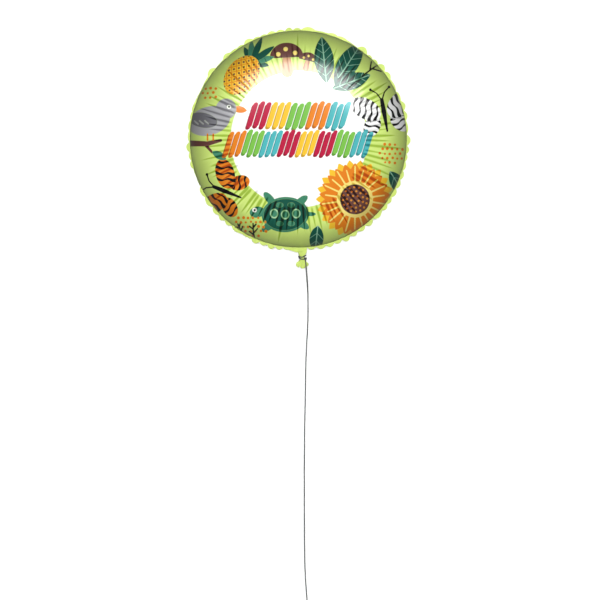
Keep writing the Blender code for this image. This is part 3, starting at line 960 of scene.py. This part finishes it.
def sunflower(sheet, x, y, size, petals=22):
    """A big orange flower with straw lines between its petals."""
    for shift, ink, reach, wide in ((0.0, "yellow", 1.0, 0.30), (0.5, "orange", 0.92, 0.27)):
        for petal in all_round(sheet, x, y, size, petals, shift):
            petal.leaf(ink, 0.30, 0, reach - 0.30, wide)
    for k, line in enumerate(all_round(sheet, x, y, size, petals, 0.5)):
        line.stroke("straw", ((0.42, 0), (0.84 if k % 2 else 0.76, 0)), (1.5, 1.1))
    whole = Figure(sheet, x, y, size)
    whole.disc("straw", 0, 0, 0.46 * size)
    whole.disc("brown", 0, 0, 0.38 * size)
    for ring, count in ((0.10, 5), (0.21, 11), (0.31, 16)):
        for dot in all_round(sheet, x, y, size, count, ring * 7):
            dot.disc("orange", ring, 0, 0.95)


def turtle(sheet, x, y, size):
    """A swimming turtle seen from above, its head to the left."""
    whole = Figure(sheet, x, y, size)
    for limb in ((-0.62, 0.62, 0.34, 0.15, 130), (-0.66, -0.46, 0.34, 0.15, 215),
                 (0.62, 0.52, 0.34, 0.15, 40), (0.66, -0.36, 0.34, 0.15, -35),
                 (1.02, 0.02, 0.20, 0.08, 0), (-1.12, 0.10, 0.30, 0.22, 10)):
        whole.oval("mid_green", *limb)
    whole.eye(-1.22, 0.18, 2.1)
    whole.oval("mid_green", 0, 0, 0.94, 0.70, 3)
    whole.oval("leaf", 0, 0, 0.86, 0.62, 3)
    for plate in ((0, 0), (-0.44, 0.04), (0.44, 0.04)):
        whole.oval("pale_green", *plate, 0.17, 0.19)
        whole.oval("mid_green", *plate, 0.12, 0.14)
    for plate in ((-0.22, 0.38), (0.24, 0.38), (-0.22, -0.36), (0.24, -0.36)):
        whole.oval("mid_green", *plate, 0.15, 0.10)


def butterfly(sheet, ink, x, y, size, turn):
    """A butterfly with striped wings, its head along the turned way."""
    whole = Figure(sheet, x, y, size, turn)
    for side in (1, -1):
        for along, across, half, wide, lean in ((-0.34, 0.50, 0.40, 0.28, -38),
                                                (0.30, 0.62, 0.58, 0.36, 52)):
            inside = whole.oval(ink, along, side * across, half, wide, side * lean)
            striped = sheet.turned(*whole.at(along, side * across), turn + side * (lean + 18))
            sheet.figure_frame(inside, *striped)
    whole.stroke("black", ((-0.60, 0), (0.1, 0), (0.52, 0)),
                 (0.06 * size, 0.17 * size, 0.13 * size))
    for side in (1, -1):
        whole.stroke("black", ((0.5, 0), (0.78, side * 0.14), (0.94, side * 0.34)),
                     (1.3, 1.2, 1.2))
        whole.disc("black", 0.94, side * 0.34, 1.3)


def pineapple(sheet, x, y, size, turn):
    """A pineapple, its crown along the turned way."""
    whole = Figure(sheet, x, y, size, turn)
    for ink, reach, lean in (("leaf", 0.75, 62), ("mid_green", 1.0, 38), ("leaf", 1.2, 16)):
        for side in (-1, 1):
            whole.leaf(ink, 0.66, 0, reach, 0.27, side * lean)
    sheet.figure_frame(whole.oval("hatched", 0, 0, 0.92, 0.64), *sheet.turned(x, y, turn))


def bird(sheet, x, y, size):
    """A plump grey bird looking to the right."""
    whole = Figure(sheet, x, y, size)
    whole.stroke("dark_grey", ((-0.5, -0.06), (-1.7, 0.10)), (0.5 * size, 0.30 * size))
    whole.oval("grey", 0, 0, 0.90, 0.60, 14)
    whole.leaf("orange", 0.98, 0.52, 0.62, 0.28, -10)
    whole.disc("grey", 0.72, 0.50, 0.43 * size)
    whole.oval("dark_grey", -0.26, 0.04, 0.62, 0.31, 168)
    for feather in (-0.62, -0.40, -0.18):
        whole.stroke("grey", ((feather, 0.02), (feather + 0.16, -0.12)), (1.3, 1.3))
    whole.eye(0.84, 0.58, 2.0)
    for foot in (-0.06, 0.18):
        whole.stroke("orange", ((foot, -0.55), (foot, -0.80)), (1.6, 1.6))


def mushroom(sheet, x, y, size, turn):
    """A mushroom from its foot at (x, y), with a brown spotted cap."""
    whole = Figure(sheet, x, y, size, turn)
    whole.stroke("tan", ((0, 0), (0.6, 0)), (0.42 * size, 0.28 * size))
    middle = whole.at(0.52, 0)
    cap = np.minimum(sheet.oval(*middle, 0.56 * size, 0.62 * size, turn),
                     sheet.turned(*middle, turn)[0])
    sheet.paint("brown", cap)
    for place in ((0.68, -0.32), (0.84, 0.02), (0.66, 0.30)):
        spot = sheet.disc(*whole.at(*place), 0.085 * size)
        sheet.paint("straw", np.minimum(spot, cap - 0.4))


def twig(sheet, x, y, size, turn):
    """A bare black twig with four short arms."""
    whole = Figure(sheet, x, y, size, turn)
    for arm in (((0, 0), (0.5, 0.04), (1, 0)), ((0.3, 0.02), (0.55, 0.28)),
                ((0.42, 0.03), (0.66, -0.24)), ((0.66, 0.03), (0.86, 0.24)),
                ((0.74, 0.02), (0.94, -0.18))):
        whole.stroke("black", arm, [1.35] * len(arm))


def dots(sheet, x, y, half_width, half_height, seed, pitch=4.6):
    """A loose patch of orange dots."""
    rng = random.Random(seed)
    rows = int(half_height / pitch)
    for row in range(-rows, rows + 1):
        columns = int(half_width * math.sqrt(1 - (row / (rows + 1)) ** 2) / pitch)
        for column in range(-columns, columns + 1):
            dot_x = x + pitch * (column + 0.5 * (row % 2)) + rng.uniform(-0.4, 0.4)
            dot_y = y + pitch * 0.9 * row + rng.uniform(-0.4, 0.4)
            sheet.paint("orange", sheet.disc(dot_x, dot_y, rng.uniform(1.05, 1.45)))


def branch(sheet, points, widths):
    """A brown branch."""
    sheet.paint("brown", sheet.stroke(points, widths))


# The picture in the order of its painting: figures with their place, size and turn
PICTURE = (
    (mushroom, -10, 61, 25, 93), (mushroom, 7, 64, 14, 76),
    (veined_leaf, 26, 50, 44, 18, 96), (veined_leaf, 33, 49, 48, 19, 57),
    (veined_leaf, 31, 45, 38, 15, 21), (butterfly, "white_striped", 79, 22, 26, 100),
    (twig, 60, 58, 24, 34), (dots, 84, -14, 10, 12, 2), (sunflower, 52, -56, 36),
    (veined_leaf, 84, -30, 26, 13, -56), (veined_leaf, 18, -80, 24, 13, -96),
    (turtle, -12, -70, 23), (dots, -46, -81, 17, 10, 3), (twig, -40, -93, 15, 96),
    (twig, -50, -89, 12, 118), (butterfly, "orange_striped", -66, -49, 24, 158),
    (branch, ((-104, -4), (-84, -5), (-71, -2)), (6.0, 4.6, 2.6)),
    (branch, ((-86, -5), (-78, -14)), (3.0, 2.0)),
    (plain_leaf, "mid_green", -79, -12, 15, 7, -30), (bird, -82, 16, 22),
    (pineapple, -52, 58, 22, 52), (dots, -83, 42, 8, 9, 4))


def write_attribute(mesh, name, values):
    """Stores one number for each point."""
    attribute = mesh.attributes.new(name, "FLOAT", "POINT")
    attribute.data.foreach_set("value", np.asarray(values, np.float32))


def print_on(mesh, shape):
    """Paints the picture on the front foil's points: a white middle and a ring of figures."""
    place = np.empty(len(mesh.vertices) * 3, np.float32)
    mesh.vertices.foreach_get("co", place)
    place = place.reshape(-1, 3).astype(float) / (shape.radius / UNITS)
    sheet = PrintSheet(place[:, 0], place[:, 1])
    sheet.paint("white", sheet.disc(*WHITE_MIDDLE))
    for figure, *settings in PICTURE:
        figure(sheet, *settings)
    for name, field in sheet.inks.items():
        write_attribute(mesh, "ink_" + name, field)
    write_attribute(mesh, "along", sheet.along_figure)
    write_attribute(mesh, "across", sheet.across_figure)


def finish_piece(obj, slot, *nodes):
    """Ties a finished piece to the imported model."""
    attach(obj, BODY)
    if nodes:
        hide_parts(*nodes)


class BALLOON_OT_front_foil(Operator):
    """Add the printed front foil"""
    bl_idname = "balloon.front_foil"
    bl_label = "Front foil"

    def execute(self, context):
        foil, shape = foil_half("front_foil_skin", 1, CREASE_SEED)
        print_on(foil.data, shape)
        foil.data.materials.append(printed_finish(shape))
        foil.data.materials.append(plain_finish("front_seal", shape, True))
        finish_piece(foil, "printed_foil", "front_foil")
        return {"FINISHED"}


class BALLOON_OT_back_foil(Operator):
    """Add the plain back foil"""
    bl_idname = "balloon.back_foil"
    bl_label = "Back foil"

    def execute(self, context):
        foil, shape = foil_half("back_foil_skin", -1, CREASE_SEED + 1)
        foil.data.materials.append(plain_finish("back_film", shape, False))
        foil.data.materials.append(plain_finish("back_seal", shape, True))
        finish_piece(foil, "plain_foil", "back_foil")
        return {"FINISHED"}


def wrap_point(shape, string, turn, wrap, radius):
    """A point of one wrap of the tie: its place along, its lean and its sag in front."""
    middle, lean, sag = wrap
    squeezed = (1 - TIE_SQUEEZE) / 2
    half_width = shape.sizes.neck_width * squeezed + string.clearance + radius
    half_depth = shape.sizes.neck_thickness * squeezed + string.clearance + radius
    along = middle + lean * math.cos(turn) - sag * math.sin(turn) ** 2
    return Vector((shape.sizes.neck_x + half_width * math.cos(turn), shape.tie_y + along,
                   shape.middle + half_depth * math.sin(turn)))


def smooth_way(points, spacing, floor_height):
    """Evenly spaced points on one smooth curve through the given ones, over the floor."""
    ends = [2 * points[0] - points[1]] + points + [2 * points[-1] - points[-2]]
    dense = []
    for a, b, c, d in zip(ends, ends[1:], ends[2:], ends[3:]):
        for t in np.arange(CURVE_STEPS) / CURVE_STEPS:
            dense.append(0.5 * (2 * b + (c - a) * t + (2 * a - 5 * b + 4 * c - d) * t * t
                                + (3 * b - a - 3 * c + d) * t ** 3))
    dense.append(points[-1])
    return evenly(dense, spacing, floor_height)


def evenly(points, spacing, floor_height=None, whole=None):
    """Points at even spacing along a line, up to a whole length where one is given."""
    line = np.array([tuple(point) for point in points])
    if floor_height is not None:
        line[:, 2] = np.maximum(line[:, 2], floor_height)
    lengths = np.concatenate(([0.0], np.cumsum(np.linalg.norm(np.diff(line, axis=0), axis=1))))
    reach = whole or lengths[-1]
    if reach > lengths[-1] + 1e-9:
        raise ValueError(f"the line is {lengths[-1]:.3f} m long and {reach:.3f} m is wanted")
    wanted = np.linspace(0, reach, round(reach / spacing) + 1)
    spaced = np.stack([np.interp(wanted, lengths, line[:, k]) for k in range(3)], axis=1)
    return [Vector(point) for point in spaced]


def twisted_tube(name, points, diameter, twist, closed=False):
    """A tube of twisted strands along the points, as a mesh object."""
    section = bpy.data.curves.new(name + "_section", "CURVE")
    section.dimensions = "2D"
    outline = section.splines.new("POLY")
    outline.points.add(SECTION_POINTS - 1)
    for k, point in enumerate(outline.points):
        turn = 2 * math.pi * k / SECTION_POINTS
        reach = diameter / 2 * (1 - STRAND_GROOVE * (1 - math.cos(STRANDS * turn)))
        point.co = (reach * math.cos(turn), reach * math.sin(turn), 0, 1)
    outline.use_cyclic_u = True
    curve = bpy.data.curves.new(name, "CURVE")
    curve.dimensions = "3D"
    curve.twist_mode = "MINIMUM"
    curve.bevel_mode = "OBJECT"
    curve.bevel_object = add_object(name + "_section", section)
    curve.use_fill_caps = not closed
    line = curve.splines.new("POLY")
    line.points.add(len(points) - 1)
    travelled = 0.0
    for item, point, last in zip(line.points, points, points[:1] + points):
        travelled += (point - last).length
        item.co = (*point, 1.0)
        item.tilt = 2 * math.pi * (travelled / twist % 1)
    line.use_cyclic_u = closed
    drawn = add_object(name + "_line", curve)
    bpy.context.view_layer.update()
    graph = bpy.context.evaluated_depsgraph_get()
    mesh = bpy.data.meshes.new_from_object(drawn.evaluated_get(graph))
    bpy.data.objects.remove(curve.bevel_object)
    bpy.data.objects.remove(drawn)
    bm = bmesh.new()
    bm.from_mesh(mesh)
    bmesh.ops.remove_doubles(bm, verts=bm.verts, dist=1e-6)
    finished_mesh(bm, mesh)
    mesh.name = name
    mesh.shade_smooth()
    return add_object(name, mesh)


def string_finish():
    """Matt grey yarn, its fibres lighter and darker."""
    inks = bpy.context.scene.string_inks
    material, nodes, shader = new_material("grey_string", Roughness=0.85, Sheen_Weight=0.25,
                                           Sheen_Roughness=0.5)
    fibres = nodes.noise(2600.0)
    tone = nodes.smooth(fibres, 0.32, 0.68)
    nodes.put(nodes.mix(tone, tuple(inks.dark), tuple(inks.light)), shader.inputs["Base Color"])
    nodes.put(nodes.bump(fibres, 0.00025, 0.7), shader.inputs["Normal"])
    return material


def knot_centre(shape, string):
    """Middle of the knot, at the front of the lower wrap's right end."""
    return wrap_point(shape, string, KNOT_TURN, LOWER_WRAP, string.knot / 2)


class BALLOON_OT_tie(Operator):
    """Add the string's two wraps round the neck and its knot"""
    bl_idname = "balloon.tie"
    bl_label = "Tie"

    def execute(self, context):
        shape = FilledShape(context.scene.foil_sizes)
        string = context.scene.string_sizes
        points = []
        for k in range(TIE_STEPS + 1):
            turn = TIE_STARTS + (4 * math.pi + KNOT_TURN - TIE_STARTS) * k / TIE_STEPS
            lower = float(ease(*TIE_LOWERS, turn))
            wrap = [a + (b - a) * lower for a, b in zip(UPPER_WRAP, LOWER_WRAP)]
            points.append(wrap_point(shape, string, turn, wrap, string.diameter / 2))
        points = evenly([points[0] + Vector(TIE_STUB)] + points, TIE_SPACING)
        tie = twisted_tube("neck_tie", points, string.diameter * TIGHT, string.twist)
        loop = []
        size = string.knot * KNOT_LOOP
        for k in range(KNOT_STEPS):
            t = 2 * math.pi * k / KNOT_STEPS
            offset = Vector((math.sin(t) + 2 * math.sin(2 * t),
                             math.cos(t) - 2 * math.cos(2 * t), -1.2 * math.sin(3 * t)))
            loop.append(knot_centre(shape, string) + size * offset)
        knot = twisted_tube("tie_knot", loop, string.diameter * KNOT_TIGHT, string.twist,
                            closed=True)
        material = string_finish()
        for piece, nodes in ((tie, ["ribbon_tie"]), (knot, [])):
            piece.data.materials.append(material)
            finish_piece(piece, "string", *nodes)
        return {"FINISHED"}


def string_way(shape, string):
    """The uncoiled string from the knot to the coil."""
    knot = knot_centre(shape, string)
    radius = string.diameter / 2
    start = Vector((knot.x, knot.y - string.knot / 2 - KNOT_GAP, radius))
    way = [start + Vector((x, y, (knot.z - radius) * share)) for x, y, share in FALL]
    way += [start + Vector((x, y, 0)) for x, y in FLOOR]
    return smooth_way(way, SPACING, radius)


def coil_middle():
    """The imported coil's middle on the floor."""
    low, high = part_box("ribbon_coil")
    return Vector(((low.x + high.x) / 2, (low.y + high.y) / 2, 0))


def coil_way(string):
    """The wound rest from the end of the string's way, turn by turn and layer by layer."""
    middle = coil_middle()
    pitch = string.diameter
    base = string.diameter / 2 + string.band
    phase = random.Random(COIL_SEED).uniform(0, 2 * math.pi)
    turns = [(string.coil_radius + pitch * ring, base + pitch * layer)
             for layer in range(COIL_LAYERS)
             for ring in (COIL_RINGS if layer % 2 == 0 else COIL_RINGS[::-1])]
    points = []
    for number, ((radius, height), (next_radius, next_height)) in enumerate(
            zip(turns, turns[1:])):
        for share in np.arange(COIL_STEPS) / COIL_STEPS:
            cross = float(ease(COIL_CROSSES, 1.0, share))
            angle = -2 * math.pi * (number + share)
            reach = radius + (next_radius - radius) * cross
            reach += COIL_WOBBLE * math.sin(2 * angle + phase)
            points.append(middle + Vector((reach * math.cos(angle), reach * math.sin(angle),
                                           height + (next_height - height) * cross)))
    return points


class BALLOON_OT_string(Operator):
    """Add the string from the knot over the floor, with its rest wound up and banded"""
    bl_idname = "balloon.string"
    bl_label = "String"

    def execute(self, context):
        shape = FilledShape(context.scene.foil_sizes)
        string = context.scene.string_sizes
        laid = string_way(shape, string)
        points = evenly(laid + coil_way(string), SPACING, whole=string.whole)
        piece = twisted_tube("string_line", points, string.diameter, string.twist)
        piece.data.materials.append(string_finish())
        finish_piece(piece, "string", "ribbon", "ribbon_coil")
        band = coil_band(string)
        finish_piece(band, "string")
        return {"FINISHED"}


def coil_band(string):
    """A paper band round one side of the coil."""
    half_wide = 2 * string.diameter + string.band
    tall = 4 * string.diameter + 2 * string.band
    bm = bmesh.new()
    bmesh.ops.create_grid(bm, x_segments=1, y_segments=1, size=0.5)
    bmesh.ops.scale(bm, vec=(2 * half_wide, tall, 1), verts=bm.verts)
    bmesh.ops.bevel(bm, geom=bm.verts[:], offset=string.diameter / 2, segments=5, profile=0.5,
                    affect="VERTICES", material=-1)
    face = next(iter(bm.faces))
    bmesh.ops.inset_region(bm, faces=[face], thickness=string.band, use_boundary=True,
                           use_even_offset=True)
    bmesh.ops.delete(bm, geom=[face], context="FACES_ONLY")
    raised = bmesh.ops.extrude_face_region(bm, geom=bm.faces[:])["geom"]
    upper = [item for item in raised if isinstance(item, bmesh.types.BMVert)]
    bmesh.ops.translate(bm, vec=(0, 0, BAND_WIDTH), verts=upper)
    middle = coil_middle() + Vector((-string.coil_radius, BAND_WIDTH / 2, tall / 2))
    stand = Matrix.Translation(middle) @ Matrix.Rotation(math.pi / 2, 4, "X")
    bmesh.ops.transform(bm, matrix=stand, verts=bm.verts)
    mesh = finished_mesh(bm, bpy.data.meshes.new("coil_band"))
    material, nodes, shader = new_material("band_paper", Roughness=0.7)
    grain = nodes.noise(900.0, 3.0)
    color = nodes.scaled(tuple(bpy.context.scene.string_inks.band),
                         nodes.smooth(grain, 0.3, 0.7, 0.93, 1.0))
    nodes.put(color, shader.inputs["Base Color"])
    nodes.put(nodes.bump(grain, 0.0001, 0.5), shader.inputs["Normal"])
    mesh.materials.append(material)
    return add_object("coil_band", mesh)


# The photograph's frame on the rim's middle plane, and the stage, in metres
PICTURE_CENTRE = (0.0027, -0.2559)
PICTURE_HALF = 0.4770
SENSOR = 36.0                 # in millimetres, like the lens
FLOOR_HALF = 7.0
VEIL_PLACE = (0.1, 1.62, 1.85)
VEIL_SIZE = (4.2, 1.5)


def add_floor(look):
    """The floor, which shows to the camera and takes shadows but lights nothing."""
    bm = bmesh.new()
    bmesh.ops.create_grid(bm, x_segments=8, y_segments=8, size=FLOOR_HALF)
    floor = add_object("floor", finished_mesh(bm, bpy.data.meshes.new("floor")))
    material, nodes, shader = new_material("pale_floor", Roughness=0.9)
    nodes.put(tuple(look.floor), shader.inputs["Base Color"])
    floor.data.materials.append(material)
    floor.visible_diffuse = False
    floor.visible_glossy = False


def add_room(look):
    """A white room, which is brighter from below."""
    world = bpy.data.worlds.new("room")
    world.use_nodes = True
    nodes = Nodes(world)
    apart = nodes.new("SeparateXYZ")
    nodes.put(nodes.new("TexCoord").outputs["Generated"], apart.inputs[0])
    background = world.node_tree.nodes["Background"]
    nodes.put((1, 1, 1), background.inputs["Color"])
    nodes.put(nodes.smooth(apart.outputs["Z"], -0.15, 0.15, look.bounce, look.sky),
              background.inputs["Strength"])
    bpy.context.scene.world = world


def add_lights(look, target):
    """An even light from straight above and a panel that shows in the gloss alone."""
    sun = bpy.data.lights.new("overhead_light", "SUN")
    sun.energy = look.overhead
    sun.angle = math.radians(2)
    add_object("overhead_light", sun).visible_glossy = False
    panel = bpy.data.lights.new("veil_light", "AREA")
    panel.shape = "RECTANGLE"
    panel.size, panel.size_y = VEIL_SIZE
    panel.energy = look.veil
    veil = add_object("veil_light", panel)
    veil.location = VEIL_PLACE
    veil.rotation_euler = (target - veil.location).to_track_quat("-Z", "Y").to_euler()
    veil.visible_diffuse = False


def add_camera(look, height):
    """The camera straight above the picture's middle, which is at that height."""
    distance = PICTURE_HALF * look.lens / (SENSOR / 2)
    camera = bpy.data.cameras.new("camera")
    camera.lens = look.lens
    camera.sensor_width = SENSOR
    camera.clip_start = 0.1
    camera.clip_end = distance + 5
    holder = add_object("camera", camera)
    holder.location = (*PICTURE_CENTRE, height + distance)
    bpy.context.scene.camera = holder


class BALLOON_OT_stage(Operator):
    """Add the floor, the lights and the camera"""
    bl_idname = "balloon.stage"
    bl_label = "Stage"

    def execute(self, context):
        look = context.scene.stage_look
        middle = FilledShape(context.scene.foil_sizes).middle
        add_floor(look)
        add_room(look)
        add_lights(look, Vector((0, 0, middle)))
        add_camera(look, middle)
        context.scene.view_settings.view_transform = "Standard"
        return {"FINISHED"}


class BALLOON_PT_looks(Panel):
    """Lists the balloon's pieces"""
    bl_label = "Foil balloon"
    bl_idname = "BALLOON_PT_looks"
    bl_space_type = "VIEW_3D"
    bl_region_type = "UI"
    bl_category = "Balloon"

    def draw(self, context):
        layout = self.layout
        for operator in OPERATORS:
            layout.operator(operator.bl_idname)
        for group in GROUPS:
            box = layout.box()
            settings = getattr(context.scene, group)
            for name in settings.__annotations__:
                box.prop(settings, name)


GROUPS = {"foil_sizes": FoilSizes, "string_sizes": StringSizes, "print_inks": PrintInks,
          "string_inks": StringInks, "stage_look": StageLook}
OPERATORS = (BALLOON_OT_front_foil, BALLOON_OT_back_foil, BALLOON_OT_tie, BALLOON_OT_string,
             BALLOON_OT_stage)


def register():
    """Registers the settings, the operators and the panel."""
    for name, group in GROUPS.items():
        bpy.utils.register_class(group)
        setattr(bpy.types.Scene, name, PointerProperty(type=group))
    for item in (*OPERATORS, BALLOON_PT_looks):
        bpy.utils.register_class(item)


def unregister():
    """Removes what register adds."""
    for item in (BALLOON_PT_looks, *reversed(OPERATORS)):
        bpy.utils.unregister_class(item)
    for name, group in GROUPS.items():
        delattr(bpy.types.Scene, name)
        bpy.utils.unregister_class(group)


def main():
    """Builds every piece."""
    register()
    bpy.ops.balloon.front_foil()
    bpy.ops.balloon.back_foil()
    bpy.ops.balloon.tie()
    bpy.ops.balloon.string()
    bpy.ops.balloon.stage()


if __name__ == "__main__":
    main()
